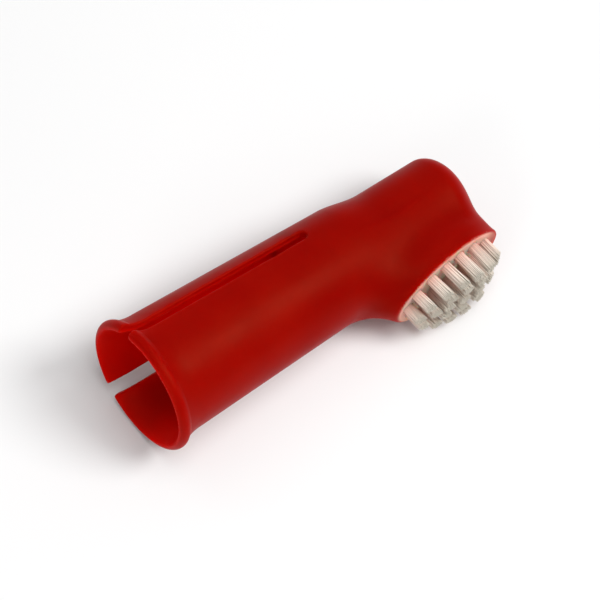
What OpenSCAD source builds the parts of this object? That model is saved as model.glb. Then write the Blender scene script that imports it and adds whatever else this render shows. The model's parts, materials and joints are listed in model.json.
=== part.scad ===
// Finger toothbrush for pets: a soft moulded sleeve that slips over a
// fingertip, with an oval head of stapled nylon tufts on one side.
//
// Working frame of the modules: X runs along the sleeve from the mouth (x = 0)
// to the closed tip, the tufts point to -Y, and Z is the sideways direction.
// stand() then lays the brush on its side: it rests on the mouth bead, on the
// side of the tip and on the edge of the head, with the floor at z = 0.
// All sizes are in millimetres.

/* [Sleeve] */
// Overall length of the sleeve, mouth to tip
sleeve_len = 60.7; // [58:0.1:64]
// Outer radius just behind the mouth bead
mouth_r = 9.45; // [9.2:0.05:10.2]
// Outer radius where the barrel starts to step down to the tip
barrel_r = 8.35; // [8.3:0.05:8.8]
// Outer radius of the narrow tip
tip_r = 7.3; // [7.1:0.1:7.6]
// Depth of the domed end of the tip
dome_d = 4.5; // [4:0.1:5.5]
// Wall thickness of the barrel
wall = 1.1; // [0.9:0.05:1.3]
// Radius of the throat that grips the fingertip
throat_r = 7.3; // [7.1:0.05:7.4]
// Radius of the cavity inside the tip
tip_bore_r = 6.1; // [5.6:0.1:6.2]

/* [Mouth bead] */
// Radius of the circle that the bead follows
bead_ring_r = 9.65; // [9.5:0.05:10.2]
// Radius of the bead's own round section
bead_r = 1; // [0.7:0.05:1.1]

/* [Back leaf] */
// Length of the two slots, from the mouth
slot_len = 32; // [26:0.5:33]
// Width of each slot
slot_w = 2; // [1:0.1:2.4]
// Angle from the middle of the back to each slot
slot_ang = 60; // [50:1:70]
// Hairline gap at the fold line of the leaf
fold_gap = 0.04; // [0.02:0.01:0.1]

/* [Brush head] */
// Half the length of the oval face
face_a = 10.5; // [10:0.1:10.7]
// Half the width of the oval face
face_b = 7.65; // [7.3:0.05:7.8]
// Distance along the sleeve to the middle of the face
face_x = 49.9; // [49:0.1:50.2]
// Distance from the sleeve's axis to the middle of the face
face_y = 10.8; // [10.6:0.1:11.4]
// Slope of the face, which comes nearer the axis towards the tip
face_slope = 5.7; // [4:0.1:8]

/* [Tufts] */
// Half the length of the outer oval of tufts, towards its back end
outer_a = 7.9; // [7.6:0.1:8.1]
// How much longer the front half of that oval is
front_stretch = 1.09; // [1:0.01:1.12]
// Half the width of the outer oval of tufts
outer_b = 5.3; // [5:0.05:5.4]
// Half the length of the inner oval of tufts
inner_a = 5.4; // [5.2:0.1:5.6]
// Half the width of the inner oval of tufts
inner_b = 2.8; // [2.6:0.05:2.9]
// Distance between the three tufts of the middle row
row_pitch = 2.9; // [2.7:0.05:3]
// How far the ovals sit back from the middle of the face
oval_back = 0.5; // [0.3:0.1:0.6]
// Radius of a tuft where it leaves its hole
tuft_r = 0.85; // [0.7:0.05:0.9]
// Radius of a tuft at its trimmed end
tuft_tip_r = 0.96; // [0.86:0.02:1.05]
// Length of the longest tuft above the face
tuft_len = 4.8; // [4.2:0.1:5.4]
// How much shorter the side tufts are trimmed
trim_side = 0.2; // [0:0.1:0.6]
// How much shorter the tufts at the back end are trimmed
trim_back = 1.5; // [0:0.1:1.8]
// How much shorter the tufts at the front end are trimmed
trim_front = 2.5; // [0:0.1:2.8]
// Depth of the tuft holes
hole_depth = 2.7; // [2.4:0.1:2.8]

/* [Anchors] */
// Width of a flat wire anchor, across the hole
anchor_w = 2.1; // [1.9:0.05:2.2]
// Height of an anchor, along the hole
anchor_h = 1.2; // [1:0.1:1.4]
// Thickness of the anchor wire
anchor_t = 0.3; // [0.25:0.05:0.35]

/* [Hidden] */
$fn = 96;
fit_gap = 0.02;                          // tuft to hole, anchor to its notch
tip_x0 = sleeve_len - dome_d;            // where the dome of the tip starts
step_x0 = 38.3;                          // the barrel steps down from here
step_x1 = 45.8;                          // to here
taper_x0 = 5.5;                          // barrel taper starts behind the bead
bead_x = bead_r;                         // the bead's front touches x = 0
fold_x = slot_len;                       // fold line of the leaf
throat_x0 = 33.5;                        // the throat starts past the slots
throat_x1 = 39.5;                        // and ends before the tip cavity

// the resting tilt: one plane touches the bead and the side of the tip
rest_dx = tip_x0 - bead_x;
rest_dr = bead_ring_r - tip_r;
tilt = asin(bead_r / norm([rest_dx, rest_dr])) + atan2(rest_dr, rest_dx);
rest_h = bead_ring_r * cos(tilt) + bead_x * sin(tilt) + bead_r;
function ease(t) = t * t * (3 - 2 * t);
// outer radius of the barrel and the step, behind the mouth bead
function barrel(x) = x < step_x0
    ? mouth_r + (barrel_r - mouth_r) * (x - taper_x0) / (step_x0 - taper_x0)
    : x < step_x1
    ? barrel_r + (tip_r - barrel_r) * ease((x - step_x0) / (step_x1 - step_x0))
    : tip_r;
// places of the tufts on the face: [along it, sideways]. They stand on an outer
// and an inner oval, spaced out round each, with a short row in the middle.
function on_oval(i, n, a, b, crowd, stretch) =
    let (turn = 180 - 360 * i / n, at = turn + crowd * sin(2 * turn))
    [a * cos(at) * (cos(at) > 0 ? stretch : 1) - oval_back, b * sin(at)];
n_outer = 14;
n_inner = 8;
places = concat(
    [for (i = [0:n_outer - 1]) on_oval(i, n_outer, outer_a, outer_b, 7, front_stretch)],
    [for (i = [0:n_inner - 1]) on_oval(i, n_inner, inner_a, inner_b, 12, 1)],
    [for (i = [-1:1]) [row_pitch * i - oval_back, 0]]);
// exposed length of the tuft that stands at [u, z]
crown = 2;                               // the trim is highest here
function trim(p) = tuft_len
    - trim_side * pow(p[1] / outer_b, 2)
    - (p[0] < crown ? trim_back * pow((crown - p[0]) / 8.8, 1.6)
                    : trim_front * pow((p[0] - crown) / 6.3, 2.5));

// middle of the box around the resting brush
low_x = bead_x * cos(tilt) - bead_ring_r * sin(tilt) - bead_r;
high_x = tip_x0 * cos(tilt) + norm([dome_d * cos(tilt), tip_r * sin(tilt)]);
reach_y = max([for (p = places) face_y - p[0] * sin(face_slope)
    + trim(p) * cos(face_slope) + (tuft_tip_r - 0.4) * sin(face_slope)]);
mid_x = (low_x + high_x) / 2;
mid_y = (bead_ring_r + bead_r - reach_y) / 2;

module stand() {
    translate([-mid_x, -mid_y, rest_h])
        rotate([0, tilt, 0])
            children();
}

// a solid of revolution about the X axis, from [x, r] points
module spun(points) {
    rotate([90, 0, 90])
        rotate_extrude()
            polygon([for (p = points) [p[1], p[0]]]);
}

function oval(a, b, n = 72) = [for (i = [0:n - 1])
    [a * cos(360 * i / n), b * sin(360 * i / n)]];

// ---- outer form of the sleeve ------------------------------------------
hollow_x = 5.2;                          // the hollow behind the bead ends here

module bead_and_barrel() {
    spun(concat(
        [[bead_x, 0], [bead_x, bead_ring_r - bead_r * 0.6]],
        // hollow curve from the bead down to the barrel
        [for (i = [0:8])
            let (t = i / 8, x0 = bead_x + 0.75)
            [x0 + (hollow_x - x0) * t,
             barrel(hollow_x) + (bead_ring_r + 0.5 - barrel(hollow_x)) * pow(1 - t, 2.1)]],
        [for (i = [0:10]) let (x = step_x0 + (step_x1 - step_x0) * i / 10) [x, barrel(x)]],
        [[tip_x0, tip_r]],
        [for (a = [8:8:88]) [tip_x0 + dome_d * sin(a), tip_r * cos(a)]],
        [[sleeve_len, 0]]
    ));
    // the round bead at the mouth
    rotate([90, 0, 90])
        translate([0, 0, bead_x])
            rotate_extrude()
                translate([bead_ring_r, 0])
                    circle(bead_r, $fn = 48);
}

// places a child in the head's own frame: X along the face towards the tip,
// -Y straight out of the face
module on_face() {
    translate([face_x, -face_y, 0])
        rotate([0, 0, face_slope])
            children();
}

// one level of the head, at a depth behind the face
module head_level(depth, thick, a, b) {
    on_face()
        translate([0, depth, 0])
            rotate([-90, 0, 0])
                linear_extrude(thick)
                    polygon(oval(a, b));
}

// the oval block that carries the tufts: a thick platform that draws in to a
// waist before it meets the barrel
module head_block() {
    hull() {
        head_level(0, 0.7, face_a, face_b);
        head_level(3.0, 0.2, 10.4, 7.15);
    }
    hull() {
        head_level(3.0, 0.2, 10.4, 7.15);
        head_level(6.8, 0.2, 10.4, 6.35);
    }
    // sloping chin between the barrel and the back edge of the face
    hull() {
        on_face()
            rotate([-90, 0, 0])
                linear_extrude(0.7)
                    intersection() {
                        polygon(oval(face_a - 0.05, face_b - 0.1));
                        translate([-face_a - 1, -face_b])
                            square([face_a + 1, 2 * face_b]);
                    }
        translate([43.5, -7.2, 0])
            rotate([90, 0, 0])
                linear_extrude(0.4)
                    polygon(oval(8.2, 4.4, 48));
    }
}

// ---- inside of the sleeve ----------------------------------------------
module finger_cavity() {
    mouth_in = bead_ring_r - 0.15;
    funnel_x0 = 0.3;
    funnel_x1 = 5;
    funnel_r = barrel(funnel_x1) - wall;
    spun(concat(
        [[-1, 0], [-1, mouth_in]],
        // the mouth flares out, so its lip is about as thick as the wall
        [for (i = [0:8]) let (t = i / 8)
            [funnel_x0 + (funnel_x1 - funnel_x0) * t,
             funnel_r + (mouth_in - funnel_r) * pow(1 - t, 2)]],
        [[throat_x0, throat_r]],
        [for (i = [0:8]) let (t = i / 8)
            [throat_x1 + 5.5 * t, throat_r + (tip_bore_r - throat_r) * ease(t)]],
        [[tip_x0 - 2, tip_bore_r]],
        [for (a = [10:10:80]) [tip_x0 - 2 + 4.2 * sin(a), tip_bore_r * cos(a)]],
        [[tip_x0 + 2.2, 0]]
    ));
}

// the two lengthwise slots, open at the mouth and round at the far end
module slots() {
    for (s = [-1, 1])
        rotate([s * slot_ang, 0, 0]) {
            translate([-1, 2, -slot_w / 2])
                cube([slot_len + 1, 12, slot_w]);
            translate([slot_len, 2, 0])
                rotate([-90, 0, 0])
                    cylinder(h = 12, r = slot_w / 2, $fn = 32);
        }
}

// wedge of space that holds the back leaf, up to the fold line
module leaf_space(x_end) {
    translate([-2, 0, 0])
        rotate([90, 0, 90])
            linear_extrude(x_end + 2)
                polygon([[0, 0],
                    [16 * cos(slot_ang), -16 * sin(slot_ang)], [16, -16],
                    [16, 16], [16 * cos(slot_ang), 16 * sin(slot_ang)]]);
}

module shell() {
    difference() {
        union() {
            bead_and_barrel();
            head_block();
        }
        finger_cavity();
        slots();
    }
}

// ---- places of the tufts -------------------------------------------------
// a child drawn along -Y from the head's face, at the tuft with this number
module at_tuft(i) {
    on_face()
        translate([places[i][0], 0, places[i][1]])
            children();
}

module anchor(grow = 0) {
    translate([-anchor_w / 2 - grow, hole_depth - 0.45 - anchor_h - grow, -anchor_t / 2 - grow])
        cube([anchor_w + 2 * grow, anchor_h + 2 * grow, anchor_t + 2 * grow]);
}

// ---- the pieces ------------------------------------------------------------
module finger_sleeve() {
    color("#a00d0a")
        stand()
            difference() {
                shell();
                leaf_space(fold_x);
                for (i = [0:len(places) - 1])
                    at_tuft(i) {
                        translate([0, hole_depth, 0])
                            rotate([90, 0, 0])
                                cylinder(h = hole_depth + 2, r = tuft_r + fit_gap, $fn = 32);
                        anchor(fit_gap);
                    }
            }
}

module back_leaf() {
    color("#a00d0a")
        stand()
            intersection() {
                difference() {
                    bead_and_barrel();
                    finger_cavity();
                    slots();
                }
                leaf_space(fold_x - fold_gap);
            }
}

module anchor_staples() {
    color("#c9b37a")
        stand()
            for (i = [0:len(places) - 1])
                at_tuft(i) anchor();
}

// one tuft, folded round its anchor at the bottom of its hole
module tuft(i) {
    len_out = trim(places[i]);
    color("#e8e0d0")
        stand()
            at_tuft(i)
                difference() {
                    rotate([90, 0, 0])
                        translate([0, 0, -hole_depth + fit_gap])
                            rotate_extrude($fn = 24)
                                polygon([[0, 0], [tuft_r - 0.2, 0], [tuft_r, 0.2],
                                    [tuft_r, hole_depth],
                                    [tuft_tip_r, hole_depth + len_out - 0.45],
                                    [tuft_tip_r - 0.12, hole_depth + len_out - 0.15],
                                    [tuft_tip_r - 0.4, hole_depth + len_out],
                                    [0, hole_depth + len_out]]);
                    anchor(fit_gap);
                }
}

finger_sleeve();
back_leaf();
anchor_staples();
tuft(0);  // tuft_a1
tuft(1);  // tuft_a2
tuft(2);  // tuft_a3
tuft(3);  // tuft_a4
tuft(4);  // tuft_a5
tuft(5);  // tuft_a6
tuft(6);  // tuft_a7
tuft(7);  // tuft_a8
tuft(8);  // tuft_a9
tuft(9);  // tuft_a10
tuft(10);  // tuft_a11
tuft(11);  // tuft_a12
tuft(12);  // tuft_a13
tuft(13);  // tuft_a14
tuft(14);  // tuft_b1
tuft(15);  // tuft_b2
tuft(16);  // tuft_b3
tuft(17);  // tuft_b4
tuft(18);  // tuft_b5
tuft(19);  // tuft_b6
tuft(20);  // tuft_b7
tuft(21);  // tuft_b8
tuft(22);  // tuft_c1
tuft(23);  // tuft_c2
tuft(24);  // tuft_c3
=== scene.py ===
import bpy
import bmesh
import json
import math
import numpy as np
from mathutils import Matrix, Vector


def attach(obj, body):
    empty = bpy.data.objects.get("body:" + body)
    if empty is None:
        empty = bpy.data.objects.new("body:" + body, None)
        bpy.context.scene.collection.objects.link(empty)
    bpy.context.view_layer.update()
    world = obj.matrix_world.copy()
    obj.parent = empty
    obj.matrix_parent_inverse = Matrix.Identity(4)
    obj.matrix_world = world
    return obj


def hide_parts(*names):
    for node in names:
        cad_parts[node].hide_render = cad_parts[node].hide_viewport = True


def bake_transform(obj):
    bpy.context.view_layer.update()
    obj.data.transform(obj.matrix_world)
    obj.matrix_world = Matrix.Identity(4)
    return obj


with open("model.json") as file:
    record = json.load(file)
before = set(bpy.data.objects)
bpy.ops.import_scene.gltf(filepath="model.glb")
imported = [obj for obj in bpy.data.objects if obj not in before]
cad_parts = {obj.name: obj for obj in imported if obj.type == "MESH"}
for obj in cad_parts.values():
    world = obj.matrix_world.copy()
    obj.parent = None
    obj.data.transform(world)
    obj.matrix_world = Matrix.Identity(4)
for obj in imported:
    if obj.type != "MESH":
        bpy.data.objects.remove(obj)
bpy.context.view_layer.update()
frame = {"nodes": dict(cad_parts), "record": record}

# --------------------------------------------------------------------------
# The sleeve's own frame, in millimetres: x from the mouth to the tip along the
# axis, tufts towards -y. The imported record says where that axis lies.
# --------------------------------------------------------------------------
socket = next(m for m in frame["record"]["mounts"] if m["name"] == "finger_socket")
AXIS = -np.array(socket["axis"], float)
AXIS /= np.linalg.norm(AXIS)
SIDE = np.array([0.0, 1.0, 0.0])
UPZ = np.cross(AXIS, SIDE)
ROT = np.stack([AXIS, SIDE, UPZ], axis=1)        # columns: sleeve x, y, z
SOCKET_X = 36.5                                  # the socket's place on the axis
ORIGIN = np.array(socket["pos_m"], float) - ROT @ (np.array([SOCKET_X, 0, 0]) / 1000)


def to_row(p):
    """Sleeve millimetres to row-frame metres."""
    return np.asarray(p, float) / 1000 @ ROT.T + ORIGIN


def dir_row(d):
    return np.asarray(d, float) @ ROT.T


# sizes, as the CAD has them
LEN, MOUTH_R, BARREL_R, TIP_R, DOME = 60.7, 9.45, 8.35, 7.3, 4.5
WALL, THROAT_R, TIP_BORE = 1.1, 7.3, 6.1
RING, BEAD = 9.65, 1.0
SLOT_LEN, SLOT_W, SLOT_ANG = 32.0, 2.0, math.radians(60)
FACE_A, FACE_B, FACE_X, FACE_Y = 10.5, 7.65, 49.9, 10.8
SLOPE = math.radians(5.7)
CORNER = 0.3
OUTER_A, OUTER_B, INNER_A, INNER_B, ROW = 7.9, 5.3, 5.4, 2.8, 2.9
FRONT_STRETCH, BACKSET = 1.09, 0.5
TUFT_LEN, TRIM_SIDE, TRIM_BACK, TRIM_FRONT, CROWN = 4.8, 0.2, 1.5, 2.5, 2.0
TIP_X0 = LEN - DOME
STEP0, STEP1 = 38.3, 45.8
FACE_C = np.array([FACE_X, -FACE_Y, 0.0])         # middle of the head's face
FACE_U = np.array([math.cos(SLOPE), math.sin(SLOPE), 0.0])    # along it, to the tip
FACE_W = np.array([math.sin(SLOPE), -math.cos(SLOPE), 0.0])   # straight out of it


def tufts():
    """Name and place on the face of each tuft: two ovals and a middle row."""
    def oval(i, n, a, b, crowd, stretch):
        turn = math.pi - 2 * math.pi * i / n
        at = turn + math.radians(crowd) * math.sin(2 * turn)
        longer = stretch if math.cos(at) > 0 else 1
        return a * math.cos(at) * longer - BACKSET, b * math.sin(at)
    for i in range(14):
        yield ("tuft_a%d" % (i + 1),) + oval(i, 14, OUTER_A, OUTER_B, 7, FRONT_STRETCH)
    for i in range(8):
        yield ("tuft_b%d" % (i + 1),) + oval(i, 8, INNER_A, INNER_B, 12, 1)
    for i in range(3):
        yield "tuft_c%d" % (i + 1), ROW * (i - 1) - BACKSET, 0.0


def trim(u, z):
    """How far the tufts stand out of the face there."""
    d = u - CROWN
    ends = TRIM_BACK * max(-d / 8.8, 0) ** 1.6 + TRIM_FRONT * max(d / 6.3, 0) ** 2.5
    return TUFT_LEN - TRIM_SIDE * (z / OUTER_B) ** 2 - ends


# --------------------------------------------------------------------------
# Distance field of the moulded sleeve
# --------------------------------------------------------------------------
def smin(a, b, k):
    h = np.clip(0.5 + 0.5 * (b - a) / k, 0, 1)
    return b * (1 - h) + a * h - k * h * (1 - h)


def smax(a, b, k):
    return -smin(-a, -b, k)


def ease(t):
    t = np.clip(t, 0, 1)
    return t * t * (3 - 2 * t)


def barrel(x):
    return np.where(
        x < STEP0,
        MOUTH_R + (BARREL_R - MOUTH_R) * (x - 5.5) / (STEP0 - 5.5),
        BARREL_R + (TIP_R - BARREL_R) * ease((x - STEP0) / (STEP1 - STEP0)),
    )


HOLLOW_X = 5.2
HOLLOW_R = float(barrel(np.array(HOLLOW_X)))


def outer_r(x):
    t = np.clip((x - BEAD - 0.75) / (HOLLOW_X - BEAD - 0.75), 0, 1)
    return np.where(x < HOLLOW_X, HOLLOW_R + (RING + 0.5 - HOLLOW_R) * (1 - t) ** 2.1, barrel(x))


def inner_r(x):
    mouth_in = RING - 0.15
    fr = float(barrel(np.array(5.0))) - WALL
    t = np.clip((x - 0.3) / 4.7, 0, 1)
    funnel = fr + (mouth_in - fr) * (1 - t) ** 2
    cone = fr + (THROAT_R - fr) * (x - 5) / 28.5
    deep = THROAT_R + (TIP_BORE - THROAT_R) * ease((x - 39.5) / 5.5)
    return np.where(x < 5, funnel, np.where(x < 33.5, cone, deep))


def profile(x, rho, radius):
    e = 0.02
    slope = (radius(x + e) - radius(x - e)) / (2 * e)
    return (rho - radius(x)) / np.sqrt(1 + slope ** 2)


def domed(x, rho, x0, depth, r):
    qx, qr = np.maximum(x - x0, 0) / depth, rho / r
    k0 = np.sqrt(qx * qx + qr * qr)
    k1 = np.sqrt((qx / depth) ** 2 + (qr / r) ** 2)
    return k0 * (k0 - 1) / np.maximum(k1, 1e-6)


def head_axes(x, y):
    dx, dy = x - FACE_X, y + FACE_Y
    c, s = math.cos(SLOPE), math.sin(SLOPE)
    return c * dx + s * dy, -s * dx + c * dy


def field(p):
    """Signed distance, about, to the sleeve's plastic; negative inside it."""
    x, y, z = p[..., 0], p[..., 1], p[..., 2]
    rho = np.sqrt(y * y + z * z)
    # barrel, step and domed tip, with the round bead at the mouth
    body = np.where(x < TIP_X0, profile(x, rho, outer_r), domed(x - 0.06 * y, rho, TIP_X0, DOME, TIP_R))
    body = smax(body, BEAD - x, 0.1)
    bead = np.sqrt((x - BEAD) ** 2 + (rho - RING) ** 2) - BEAD
    outer = smin(body, bead, 0.3)
    # oval head: a platform that draws in to a waist below the barrel, with a
    # sloping chin behind
    u, v = head_axes(x, y)
    vc = np.clip(v, 0, 9)
    front = FACE_A + 0.1 - 0.4 * (1 - np.exp(-vc / 1.2)) + 0.12 * vc
    rear = FACE_A + 0.8 * vc
    half = FACE_B - 0.43 * (1 - np.exp(-vc / 0.9)) - 0.9 * ease((vc - 2.0) / 5.0)
    a = np.where(u > 0, front, rear)
    k0 = np.sqrt((u / a) ** 2 + (z / half) ** 2)
    k1 = np.sqrt((u / a ** 2) ** 2 + (z / half ** 2) ** 2)
    side = k0 * (k0 - 1) / np.maximum(k1, 1e-4)
    head = smax(smax(side, -v, 0.5), v - 9, 0.6)
    outer = smin(outer, head, 1.1 - 0.4 * np.tanh(u / 4)
                 + (1.6 - 0.5 * np.tanh(u / 4)) * ease(np.abs(z) / 5))
    # the finger's space
    cavity = np.where(x < TIP_X0 - 2, profile(x, rho, inner_r),
                      domed(x, rho, TIP_X0 - 2, 4.2, TIP_BORE))
    shell = smax(outer, -cavity, 0.35)
    # two slots
    for s in (-1, 1):
        c, sn = math.cos(SLOT_ANG), s * math.sin(SLOT_ANG)
        yr, zr = c * y + sn * z, -sn * y + c * z
        lip = CORNER - np.sqrt(CORNER ** 2 - np.clip(CORNER - x, 0, CORNER) ** 2)
        slot = np.sqrt(np.maximum(x - SLOT_LEN, 0) ** 2 + zr * zr) - SLOT_W / 2 - lip
        slot = np.maximum(slot, 2 - yr)
        shell = smax(shell, -slot, 0.32)
    # mouths of the tuft holes
    near = (np.abs(v) < 2.2) & (k0 < 1.15)
    if near.any():
        un, zn, vn = u[near], z[near], v[near]
        hole = np.full(un.shape, 99.0)
        for _, cu, cz in tufts():
            hole = np.minimum(hole, np.sqrt((un - cu) ** 2 + (zn - cz) ** 2))
        hole = np.maximum(hole - 0.9, vn - 1.1)
        shell[near] = smax(shell[near], -hole, 0.16)
    return shell


def slope_of(p, e=0.01):
    f0 = field(p)
    g = np.empty_like(p)
    for i in range(3):
        q = p.copy()
        q[:, i] += e
        r = p.copy()
        r[:, i] -= e
        g[:, i] = (field(q) - field(r)) / (2 * e)
    return f0, g


def onto_surface(p, steps=4):
    for _ in range(steps):
        f, g = slope_of(p)
        n2 = np.maximum((g * g).sum(1), 0.05)
        move = (f / n2)[:, None] * g
        far = np.linalg.norm(move, axis=1)
        move *= np.minimum(1, 0.25 / np.maximum(far, 1e-9))[:, None]
        p = p - move
    return p


def nets(xs, ys, zs):
    """Quads of the field's zero surface on an uneven grid."""
    grid = np.stack(np.meshgrid(xs, ys, zs, indexing="ij"), -1)
    F = np.concatenate([field(grid[i:i + 16]) for i in range(0, len(xs), 16)])
    S = F < 0
    corners = [(i, j, k) for i in (0, 1) for j in (0, 1) for k in (0, 1)]
    nx, ny, nz = F.shape
    part = lambda A, c: A[c[0]:nx - 1 + c[0], c[1]:ny - 1 + c[1], c[2]:nz - 1 + c[2]]
    count = sum(part(S, c).astype(np.int8) for c in corners)
    active = (count > 0) & (count < 8)
    index = np.full(active.shape, -1, np.int64)
    index[active] = np.arange(active.sum())
    at = np.argwhere(active)
    total, hits = np.zeros((len(at), 3)), np.zeros(len(at))
    for a in corners:
        for ax in range(3):
            if a[ax]:
                continue
            b = tuple(1 if i == ax else a[i] for i in range(3))
            ia, ib = at + a, at + b
            fa, fb = F[tuple(ia.T)], F[tuple(ib.T)]
            cut = (fa < 0) != (fb < 0)
            t = np.where(cut, fa / np.where(cut, fa - fb, 1), 0)[:, None]
            pa, pb = grid[tuple(ia.T)], grid[tuple(ib.T)]
            total += np.where(cut[:, None], pa + t * (pb - pa), 0)
            hits += cut
    verts = total / hits[:, None]
    quads = []
    for ax in range(3):
        o1, o2 = (ax + 1) % 3, (ax + 2) % 3
        lo = [slice(1, -1)] * 3
        hi = [slice(1, -1)] * 3
        lo[ax], hi[ax] = slice(0, -1), slice(1, None)
        change = S[tuple(lo)] != S[tuple(hi)]
        e = np.argwhere(change)
        base = e.copy()
        base[:, o1] += 1
        base[:, o2] += 1
        inside = S[tuple(base.T)]
        ring = []
        for d1, d2 in ((-1, -1), (0, -1), (0, 0), (-1, 0)):
            c = base.copy()
            c[:, o1] += d1
            c[:, o2] += d2
            ring.append(index[tuple(c.T)])
        q = np.stack(ring, 1)
        q[~inside] = q[~inside][:, ::-1]
        quads.append(q)
    return verts, np.concatenate(quads)


def relax(v, quads, rounds=3):
    """Evens the quads out along the surface."""
    ea = np.concatenate([quads[:, i] for i in range(4)])
    eb = np.concatenate([quads[:, (i + 1) % 4] for i in range(4)])
    a, b = np.concatenate([ea, eb]), np.concatenate([eb, ea])
    n = np.bincount(a, minlength=len(v))[:, None]
    for _ in range(rounds):
        mean = np.stack([np.bincount(a, v[b, i], len(v)) for i in range(3)], 1) / n
        v = onto_surface(v + 0.5 * (mean - v), 2)
    return v


def steps(*spans):
    """Grid lines: each span is (start, end, spacing)."""
    out = [np.linspace(a, b, max(1, round((b - a) / s)), endpoint=False) for a, b, s in spans]
    return np.concatenate(out + [np.array([spans[-1][1]])])


xs = steps((-0.5, 5.0, 0.24), (5.0, 29.5, 0.62), (29.5, 35.0, 0.32), (35.0, 61.3, 0.27))
ys = steps((-12.6, 11.5, 0.27))
zs = steps((-11.5, 11.5, 0.27))
net_v, net_q = nets(xs, ys, zs)
net_v = relax(onto_surface(net_v), net_q)


# --------------------------------------------------------------------------
# Two skins: the back leaf up to the seam, and the rest of the sleeve
# --------------------------------------------------------------------------
SEAM = 31.3


def in_leaf(p):
    ang = np.abs(np.arctan2(p[:, 2], p[:, 1]))
    return ang < SLOT_ANG


bm = bmesh.new()
for p in net_v:
    bm.verts.new(p)
bm.verts.ensure_lookup_table()
for q in net_q:
    try:
        bm.faces.new([bm.verts[i] for i in q])
    except ValueError:
        pass
bm.faces.ensure_lookup_table()
mid = np.array([f.calc_center_median()[:] for f in bm.faces])
close = in_leaf(mid) & (np.abs(mid[:, 0] - SEAM) < 2)
cut_faces = [bm.faces[i] for i in np.flatnonzero(close)]
geom = list({v for f in cut_faces for v in f.verts}) + list({e for f in cut_faces for e in f.edges}) + cut_faces
bmesh.ops.bisect_plane(bm, geom=geom, dist=0.02, plane_co=(SEAM, 0, 0), plane_no=(1, 0, 0))
co = np.array([v.co[:] for v in bm.verts])
on_seam = (np.abs(co[:, 0] - SEAM) < 0.021) & in_leaf(co)
for _ in range(3):
    f, g = slope_of(co[on_seam])
    g[:, 0] = 0
    co[on_seam] -= (f / np.maximum((g * g).sum(1), 0.2))[:, None] * g
co[on_seam, 0] = SEAM
for v, p in zip(bm.verts, co):
    v.co = p
bmesh.ops.remove_doubles(bm, verts=[v for v, near in zip(bm.verts, on_seam) if near], dist=0.004)
bm.faces.ensure_lookup_table()
mid = np.array([f.calc_center_median()[:] for f in bm.faces])
leaf_side = in_leaf(mid) & (mid[:, 0] < SEAM)
for f, s in zip(bm.faces, leaf_side):
    f.material_index = int(s)


def skin(name, keep):
    part = bm.copy()
    part.faces.ensure_lookup_table()
    drop = [f for f in part.faces if f.material_index != keep]
    bmesh.ops.delete(part, geom=drop, context="FACES")
    for f in part.faces:
        f.material_index = 0
    rim = [e for e in part.edges if e.is_boundary]
    made = bmesh.ops.holes_fill(part, edges=rim, sides=0)["faces"] if rim else []
    caps = bmesh.ops.triangulate(part, faces=made)["faces"] if made else []
    for f in part.faces:
        f.smooth = True
    for f in caps:
        f.smooth = False
    part.faces.index_update()
    cap_ids = np.array([f.index for f in caps], int)
    me = bpy.data.meshes.new(name)
    part.to_mesh(me)
    part.free()
    # smooth normals come from the form itself, not from its facets
    v = np.empty(len(me.vertices) * 3)
    me.vertices.foreach_get("co", v)
    v = v.reshape(-1, 3)
    _, g = slope_of(v, 0.015)
    n = g / np.maximum(np.linalg.norm(g, axis=1), 1e-9)[:, None]
    loops = np.empty(len(me.loops), np.int32)
    me.loops.foreach_get("vertex_index", loops)
    row_n = dir_row(n)[loops]
    # painted light: 0 on the outside, up to 1 on the walls deep in the finger's space, where the red is painted
    # brighter to stand in for light that reaches the inside through the thin walls
    rho = np.hypot(v[:, 1], v[:, 2])
    depth = np.where(v[:, 0] < TIP_X0 - 2, profile(v[:, 0], rho, inner_r),
                     domed(v[:, 0], rho, TIP_X0 - 2, 4.2, TIP_BORE))
    glow_attr = me.attributes.new("painted_inner_glow", "FLOAT", "POINT")
    glow_attr.data.foreach_set("value", (np.clip(1 - depth / 0.7, 0, 1)
                                     * (0.4 + 0.6 * ease((v[:, 0] - 3) / 15))).astype(np.float32))
    # 1 at the seam, where the light inside the wall can't pass between skins
    seam = me.attributes.new("seam", "FLOAT", "POINT")
    seam.data.foreach_set("value", (np.exp(-np.abs(v[:, 0] - SEAM) / 0.6)
                                    * in_leaf(v)).astype(np.float32))
    # 1 on the flat face between the tufts
    fu, fv = head_axes(v[:, 0], v[:, 1])
    rim = np.sqrt((fu / FACE_A) ** 2 + (v[:, 2] / FACE_B) ** 2)
    face = me.attributes.new("tuft_face", "FLOAT", "POINT")
    face.data.foreach_set("value", (np.clip((0.985 - rim) / 0.03, 0, 1)
                                    * np.clip((0.22 - fv) / 0.15, 0, 1)
                                    * (1 - 0.75 * ease((fu - 6.5) / 3))
                                    * (v[:, 1] < -5)).astype(np.float32))
    me.vertices.foreach_set("co", to_row(v).astype(np.float32).ravel())
    me.update()
    for i in cap_ids:
        poly = me.polygons[int(i)]
        row_n[poly.loop_start:poly.loop_start + poly.loop_total] = np.array(poly.normal)
    me.normals_split_custom_set([tuple(x) for x in row_n])
    ob = bpy.data.objects.new(name, me)
    bpy.context.scene.collection.objects.link(ob)
    print(name, "faces", len(me.polygons), "caps", len(cap_ids))
    return ob


sleeve_skin = skin("sleeve_skin", 0)
leaf_skin = skin("leaf_skin", 1)
bm.free()


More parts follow.
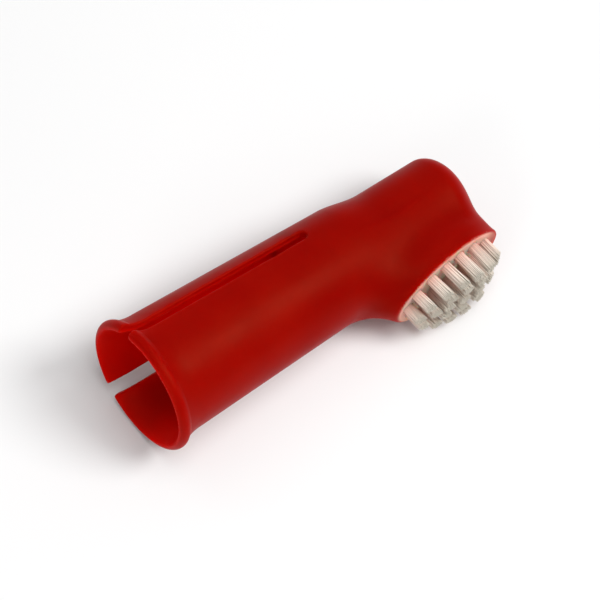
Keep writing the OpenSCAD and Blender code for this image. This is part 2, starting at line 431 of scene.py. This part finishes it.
# --------------------------------------------------------------------------
# Tufts of single filaments
# --------------------------------------------------------------------------
def tuft_mesh(name, cu, cz, seed):
    rng = np.random.default_rng(seed)
    gap, fil = 0.212, 0.097
    pts = []
    for j in range(-5, 6):
        for i in range(-5, 6):
            pu, pz = (i + 0.5 * (j % 2)) * gap, j * gap * 0.866
            if math.hypot(pu, pz) < 0.78:
                pts.append((pu, pz))
    pts = np.array(pts) + rng.normal(0, 0.012, (len(pts), 2))
    turn = rng.uniform(0, math.pi)
    rot = np.array([[math.cos(turn), -math.sin(turn)], [math.sin(turn), math.cos(turn)]])
    pts = pts @ rot.T
    # the whole tuft leans a little, and its filaments spread towards their ends
    lean = rng.normal(0, 0.06, 2)
    spread = 1.12 + rng.uniform(-0.05, 0.05)
    sides = 6
    ang = np.arange(sides) * 2 * math.pi / sides
    stations = np.array([0.0, 0.2, 0.42, 0.64, 0.84, 0.965, 1.0])
    shrink = np.array([1, 1, 1, 1, 1, 0.9, 0.5])
    verts, faces = [], []                      # verts as (along, out, sideways)
    for bu, bz in pts:
        tip = np.array([bu, bz]) * spread + lean + rng.normal(0, 0.04, 2)
        bow = rng.normal(0, 0.03, 2)
        w0 = -0.95                             # starts down in its hole
        w1 = trim(cu + tip[0], cz + tip[1]) + rng.normal(0, 0.035)
        r0 = fil * rng.uniform(0.93, 1.05)
        phase = rng.uniform(0, math.pi)
        first = len(verts)
        for t, k in zip(stations, shrink):
            ease_out = t ** 1.35
            c = (np.array([bu, bz]) * (1 - ease_out) + tip * ease_out
                 + bow * math.sin(math.pi * t))
            w = w0 + (w1 - w0) * t
            for a in ang:
                verts.append((cu + c[0] + r0 * k * math.cos(a + phase), w,
                              cz + c[1] + r0 * k * math.sin(a + phase)))
        for s in range(len(stations) - 1):
            for i in range(sides):
                j = (i + 1) % sides
                a, b = first + s * sides, first + (s + 1) * sides
                faces.append((a + i, a + j, b + j, b + i))
        top = first + (len(stations) - 1) * sides
        faces.append(tuple(top + i for i in range(sides)))
        faces.append(tuple(first + i for i in reversed(range(sides))))
    q = np.array(verts)
    pos = (FACE_C + q[:, :1] * FACE_U + q[:, 1:2] * FACE_W
           + q[:, 2:] * np.array([0.0, 0.0, 1.0]))
    me = bpy.data.meshes.new(name)
    me.from_pydata([tuple(v) for v in to_row(pos)], [], faces)
    me.update()
    # 0 down at the face, 1 at the trimmed ends
    along = me.attributes.new("along", "FLOAT", "POINT")
    along.data.foreach_set("value", np.clip(q[:, 1] / trim(cu, cz), 0, 1).astype(np.float32))
    for p in me.polygons:
        p.use_smooth = p.loop_total == 4
    ob = bpy.data.objects.new(name, me)
    bpy.context.scene.collection.objects.link(ob)
    return ob


tuft_obs = {}
for number, (node_name, cu, cz) in enumerate(tufts()):
    tuft_obs[node_name] = tuft_mesh(node_name + "_filaments", cu, cz, 100 + number)


# --------------------------------------------------------------------------
# Materials
# --------------------------------------------------------------------------
def new_material(name):
    m = bpy.data.materials.new(name)
    m.use_nodes = True
    nt = m.node_tree
    nt.nodes.clear()
    out = nt.nodes.new("ShaderNodeOutputMaterial")
    bsdf = nt.nodes.new("ShaderNodeBsdfPrincipled")
    nt.links.new(bsdf.outputs[0], out.inputs[0])
    return m, nt, bsdf


def node(nt, kind, **values):
    n = nt.nodes.new(kind)
    for k, v in values.items():
        if k in n.inputs:
            n.inputs[k].default_value = v
        else:
            setattr(n, k, v)
    return n


def ramp(nt, source, stops):
    r = nt.nodes.new("ShaderNodeValToRGB")
    r.color_ramp.elements[0].position, r.color_ramp.elements[0].color = stops[0]
    r.color_ramp.elements[1].position, r.color_ramp.elements[1].color = stops[-1]
    for pos, col in stops[1:-1]:
        e = r.color_ramp.elements.new(pos)
        e.color = col
    nt.links.new(source, r.inputs[0])
    return r


def noise(nt, coords, scale, detail=3.0, rough=0.5):
    n = nt.nodes.new("ShaderNodeTexNoise")
    n.inputs["Scale"].default_value = scale
    n.inputs["Detail"].default_value = detail
    n.inputs["Roughness"].default_value = rough
    nt.links.new(coords, n.inputs["Vector"])
    return n


def grey(v):
    return (v, v, v, 1)


def red_plastic():
    m, nt, b = new_material("red_plastic")
    tc = nt.nodes.new("ShaderNodeTexCoord")
    at = tc.outputs["Object"]
    # slow drift of the pigment, and fine flow marks
    slow = noise(nt, at, 95, 2.0)
    col = ramp(nt, slow.outputs["Fac"], [(0.30, (0.262, 0.0012, 0.0004, 1)),
                                         (0.52, (0.285, 0.0018, 0.0006, 1)),
                                         (0.74, (0.310, 0.0030, 0.0010, 1))])
    fine = noise(nt, at, 1500, 4.0, 0.6)
    mix = nt.nodes.new("ShaderNodeMix")
    mix.data_type = "RGBA"
    mix.blend_type = "MULTIPLY"
    mix.inputs["Factor"].default_value = 0.22
    tone = ramp(nt, fine.outputs["Fac"], [(0.35, grey(0.82)), (0.65, grey(1.0))])
    nt.links.new(col.outputs["Color"], mix.inputs["A"])
    nt.links.new(tone.outputs["Color"], mix.inputs["B"])
    # painted light: the walls of the finger's space get a brighter red, brighter deeper in, standing in for
    # light that shines through the thin walls into it
    glow_node = node(nt, "ShaderNodeAttribute", attribute_name="painted_inner_glow")
    glow_mix = nt.nodes.new("ShaderNodeMix")
    glow_mix.data_type = "RGBA"
    glow_mix.inputs["B"].default_value = (0.71, 0.0028, 0.0012, 1)
    nt.links.new(glow_node.outputs["Fac"], glow_mix.inputs["Factor"])
    nt.links.new(mix.outputs["Result"], glow_mix.inputs["A"])
    # and the face under the tufts is paler
    face = node(nt, "ShaderNodeAttribute", attribute_name="tuft_face")
    pale = nt.nodes.new("ShaderNodeMix")
    pale.data_type = "RGBA"
    pale.inputs["B"].default_value = (0.80, 0.40, 0.31, 1)
    nt.links.new(face.outputs["Fac"], pale.inputs["Factor"])
    nt.links.new(glow_mix.outputs["Result"], pale.inputs["A"])
    nt.links.new(pale.outputs["Result"], b.inputs["Base Color"])
    # satin skin: handled patches are a little glossier
    patch = noise(nt, at, 160, 3.0)
    rr = ramp(nt, patch.outputs["Fac"], [(0.3, grey(0.36)), (0.7, grey(0.47))])
    nt.links.new(rr.outputs["Color"], b.inputs["Roughness"])
    grain = noise(nt, at, 5200, 2.0)
    wave = noise(nt, at, 240, 2.0)
    bump1 = node(nt, "ShaderNodeBump", Strength=0.10, Distance=0.00003)
    bump2 = node(nt, "ShaderNodeBump", Strength=0.22, Distance=0.00016)
    nt.links.new(grain.outputs["Fac"], bump1.inputs["Height"])
    nt.links.new(wave.outputs["Fac"], bump2.inputs["Height"])
    nt.links.new(bump1.outputs["Normal"], bump2.inputs["Normal"])
    nt.links.new(bump2.outputs["Normal"], b.inputs["Normal"])
    b.inputs["IOR"].default_value = 1.5
    b.inputs["Specular IOR Level"].default_value = 0.03
    b.inputs["Specular Tint"].default_value = (1.0, 0.95, 0.40, 1)
    # thin walls pass some light
    seam = node(nt, "ShaderNodeAttribute", attribute_name="seam")
    less = nt.nodes.new("ShaderNodeMath")
    less.operation = "MULTIPLY_ADD"
    less.inputs[1].default_value = -0.6
    less.inputs[2].default_value = 1.0
    nt.links.new(seam.outputs["Fac"], less.inputs[0])
    nt.links.new(less.outputs["Value"], b.inputs["Subsurface Weight"])
    b.inputs["Subsurface Radius"].default_value = (1.0, 0.06, 0.03)
    b.inputs["Subsurface Scale"].default_value = 0.0045
    return m


def nylon():
    m, nt, b = new_material("nylon_filament")
    tc = nt.nodes.new("ShaderNodeTexCoord")
    squeeze = node(nt, "ShaderNodeMapping")
    squeeze.inputs["Scale"].default_value = (1, 0.06, 1)
    nt.links.new(tc.outputs["Object"], squeeze.inputs["Vector"])
    strands = noise(nt, squeeze.outputs["Vector"], 3600, 2.0)
    # painted light on the filaments: a painted red bounce from the face near their roots, and painted shade
    # that darkens them towards their trimmed ends
    along = node(nt, "ShaderNodeAttribute", attribute_name="along")
    col = ramp(nt, along.outputs["Fac"], [(0.0, (0.92, 0.58, 0.48, 1)),
                                          (0.22, (0.95, 0.70, 0.60, 1)),
                                          (0.50, (0.95, 0.80, 0.70, 1)),
                                          (0.82, (0.84, 0.75, 0.65, 1)),
                                          (1.0, (0.62, 0.57, 0.48, 1))])
    tone = ramp(nt, strands.outputs["Fac"], [(0.30, grey(0.80)), (0.70, grey(1.0))])
    mix = nt.nodes.new("ShaderNodeMix")
    mix.data_type = "RGBA"
    mix.blend_type = "MULTIPLY"
    mix.inputs["Factor"].default_value = 1.0
    nt.links.new(col.outputs["Color"], mix.inputs["A"])
    nt.links.new(tone.outputs["Color"], mix.inputs["B"])
    nt.links.new(mix.outputs["Result"], b.inputs["Base Color"])
    rr = ramp(nt, strands.outputs["Fac"], [(0.3, grey(0.45)), (0.7, grey(0.32))])
    nt.links.new(rr.outputs["Color"], b.inputs["Roughness"])
    fine = noise(nt, squeeze.outputs["Vector"], 9000, 1.0)
    bump = node(nt, "ShaderNodeBump", Strength=0.15, Distance=0.00001)
    nt.links.new(fine.outputs["Fac"], bump.inputs["Height"])
    nt.links.new(bump.outputs["Normal"], b.inputs["Normal"])
    b.inputs["IOR"].default_value = 1.53
    return m


def drawn_wire():
    m, nt, b = new_material("anchor_wire")
    tc = nt.nodes.new("ShaderNodeTexCoord")
    lines = node(nt, "ShaderNodeMapping")
    lines.inputs["Scale"].default_value = (0.05, 1, 1)
    nt.links.new(tc.outputs["Object"], lines.inputs["Vector"])
    n = noise(nt, lines.outputs["Vector"], 9000, 3.0)
    col = ramp(nt, n.outputs["Fac"], [(0.3, (0.50, 0.38, 0.19, 1)), (0.7, (0.72, 0.60, 0.36, 1))])
    nt.links.new(col.outputs["Color"], b.inputs["Base Color"])
    rr = ramp(nt, n.outputs["Fac"], [(0.3, grey(0.22)), (0.7, grey(0.38))])
    nt.links.new(rr.outputs["Color"], b.inputs["Roughness"])
    bump = node(nt, "ShaderNodeBump", Strength=0.2, Distance=0.00001)
    nt.links.new(n.outputs["Fac"], bump.inputs["Height"])
    nt.links.new(bump.outputs["Normal"], b.inputs["Normal"])
    b.inputs["Metallic"].default_value = 1.0
    return m


RED, NYLON, WIRE = red_plastic(), nylon(), drawn_wire()
for ob in (sleeve_skin, leaf_skin):
    ob.data.materials.append(RED)
for ob in tuft_obs.values():
    ob.data.materials.append(NYLON)
staples = frame["nodes"]["anchor_staples"]
staples.data.materials.clear()
staples.data.materials.append(WIRE)

# --------------------------------------------------------------------------
# What each piece rides on
# --------------------------------------------------------------------------
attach(sleeve_skin, "sleeve")
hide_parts("finger_sleeve")
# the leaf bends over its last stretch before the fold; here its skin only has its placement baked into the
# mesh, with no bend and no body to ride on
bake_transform(leaf_skin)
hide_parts("back_leaf")
for name, ob in tuft_obs.items():
    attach(ob, "sleeve")
    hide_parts(name)

# --------------------------------------------------------------------------
# Floor, light and camera
# --------------------------------------------------------------------------
scene = bpy.context.scene
floor_me = bpy.data.meshes.new("floor")
floor_me.from_pydata([(-3, -3, 0), (3, -3, 0), (3, 3, 0), (-3, 3, 0)], [], [(0, 1, 2, 3)])
floor = bpy.data.objects.new("floor", floor_me)
scene.collection.objects.link(floor)
fm, fnt, fb = new_material("floor_white")
ftc = fnt.nodes.new("ShaderNodeTexCoord")
fn = noise(fnt, ftc.outputs["Object"], 8, 2.0)
fr = ramp(fnt, fn.outputs["Fac"], [(0.3, (0.86, 0.86, 0.86, 1)), (0.7, (0.88, 0.88, 0.88, 1))])
fnt.links.new(fr.outputs["Color"], fb.inputs["Base Color"])
fb.inputs["Roughness"].default_value = 0.8
fb.inputs["Specular IOR Level"].default_value = 0.2
floor_me.materials.append(fm)

world = bpy.data.worlds.new("studio")
world.use_nodes = True
wnt = world.node_tree
wbg = wnt.nodes["Background"]
wbg.inputs["Strength"].default_value = 0.42
# a light tent: brightest overhead, open and dimmer low down, most of all on
# the side the tufts point to
wtc = wnt.nodes.new("ShaderNodeTexCoord")
wdot = wnt.nodes.new("ShaderNodeVectorMath")
wdot.operation = "DOT_PRODUCT"
wdot.inputs[1].default_value = tuple(dir_row([-0.05, 0.50, 0.86]))
wnt.links.new(wtc.outputs["Generated"], wdot.inputs[0])
wr = ramp(wnt, wdot.outputs["Value"], [(0.0, grey(0.44)), (0.45, grey(0.76)), (0.85, grey(1.0))])
wnt.links.new(wr.outputs["Color"], wbg.inputs["Color"])
scene.world = world

target = to_row([28.85, -1.63, 0.0])
right = dir_row(np.array([0.7766, -0.6112, 0.1530]))
up = dir_row(np.array([0.4815, 0.7323, 0.4816]))
right /= np.linalg.norm(right)
up -= right * (up @ right)
up /= np.linalg.norm(up)
back = np.cross(right, up)

cam_data = bpy.data.cameras.new("camera")
cam = bpy.data.objects.new("camera", cam_data)
scene.collection.objects.link(cam)
cam_data.sensor_width = 36
cam_data.lens = 204.0
cam_data.clip_start, cam_data.clip_end = 0.01, 20
m = Matrix.Identity(4)
for i in range(3):
    m[i][0], m[i][1], m[i][2] = right[i], up[i], back[i]
    m[i][3] = target[i] + back[i] * 0.5
cam.matrix_world = m
scene.camera = cam


def area(name, direction, distance, size, power, colour=(1, 1, 1)):
    d = np.array(direction, float)
    d /= np.linalg.norm(d)
    data = bpy.data.lights.new(name, "AREA")
    data.shape = "DISK"
    data.size = size
    data.energy = power
    data.color = colour
    ob = bpy.data.objects.new(name, data)
    ob.location = tuple(target + d * distance)
    ob.rotation_mode = "QUATERNION"
    ob.rotation_quaternion = Vector(tuple(-d)).to_track_quat("-Z", "Y")
    scene.collection.objects.link(ob)


area("key", dir_row([0.39, -0.42, 0.80]), 0.80, 0.36, 3.6)
area("front", dir_row([0.00, -0.18, 0.97]), 0.90, 0.60, 3.0)
area("fill", dir_row([-0.10, 0.60, 0.75]), 0.90, 0.70, 0.2)
area("mouth", dir_row([-0.86, -0.34, 0.38]), 0.80, 0.40, 1.15)

scene.view_settings.view_transform = "Standard"
scene.view_settings.look = "None"
scene.view_settings.exposure = 0.0
scene.view_settings.gamma = 1.0
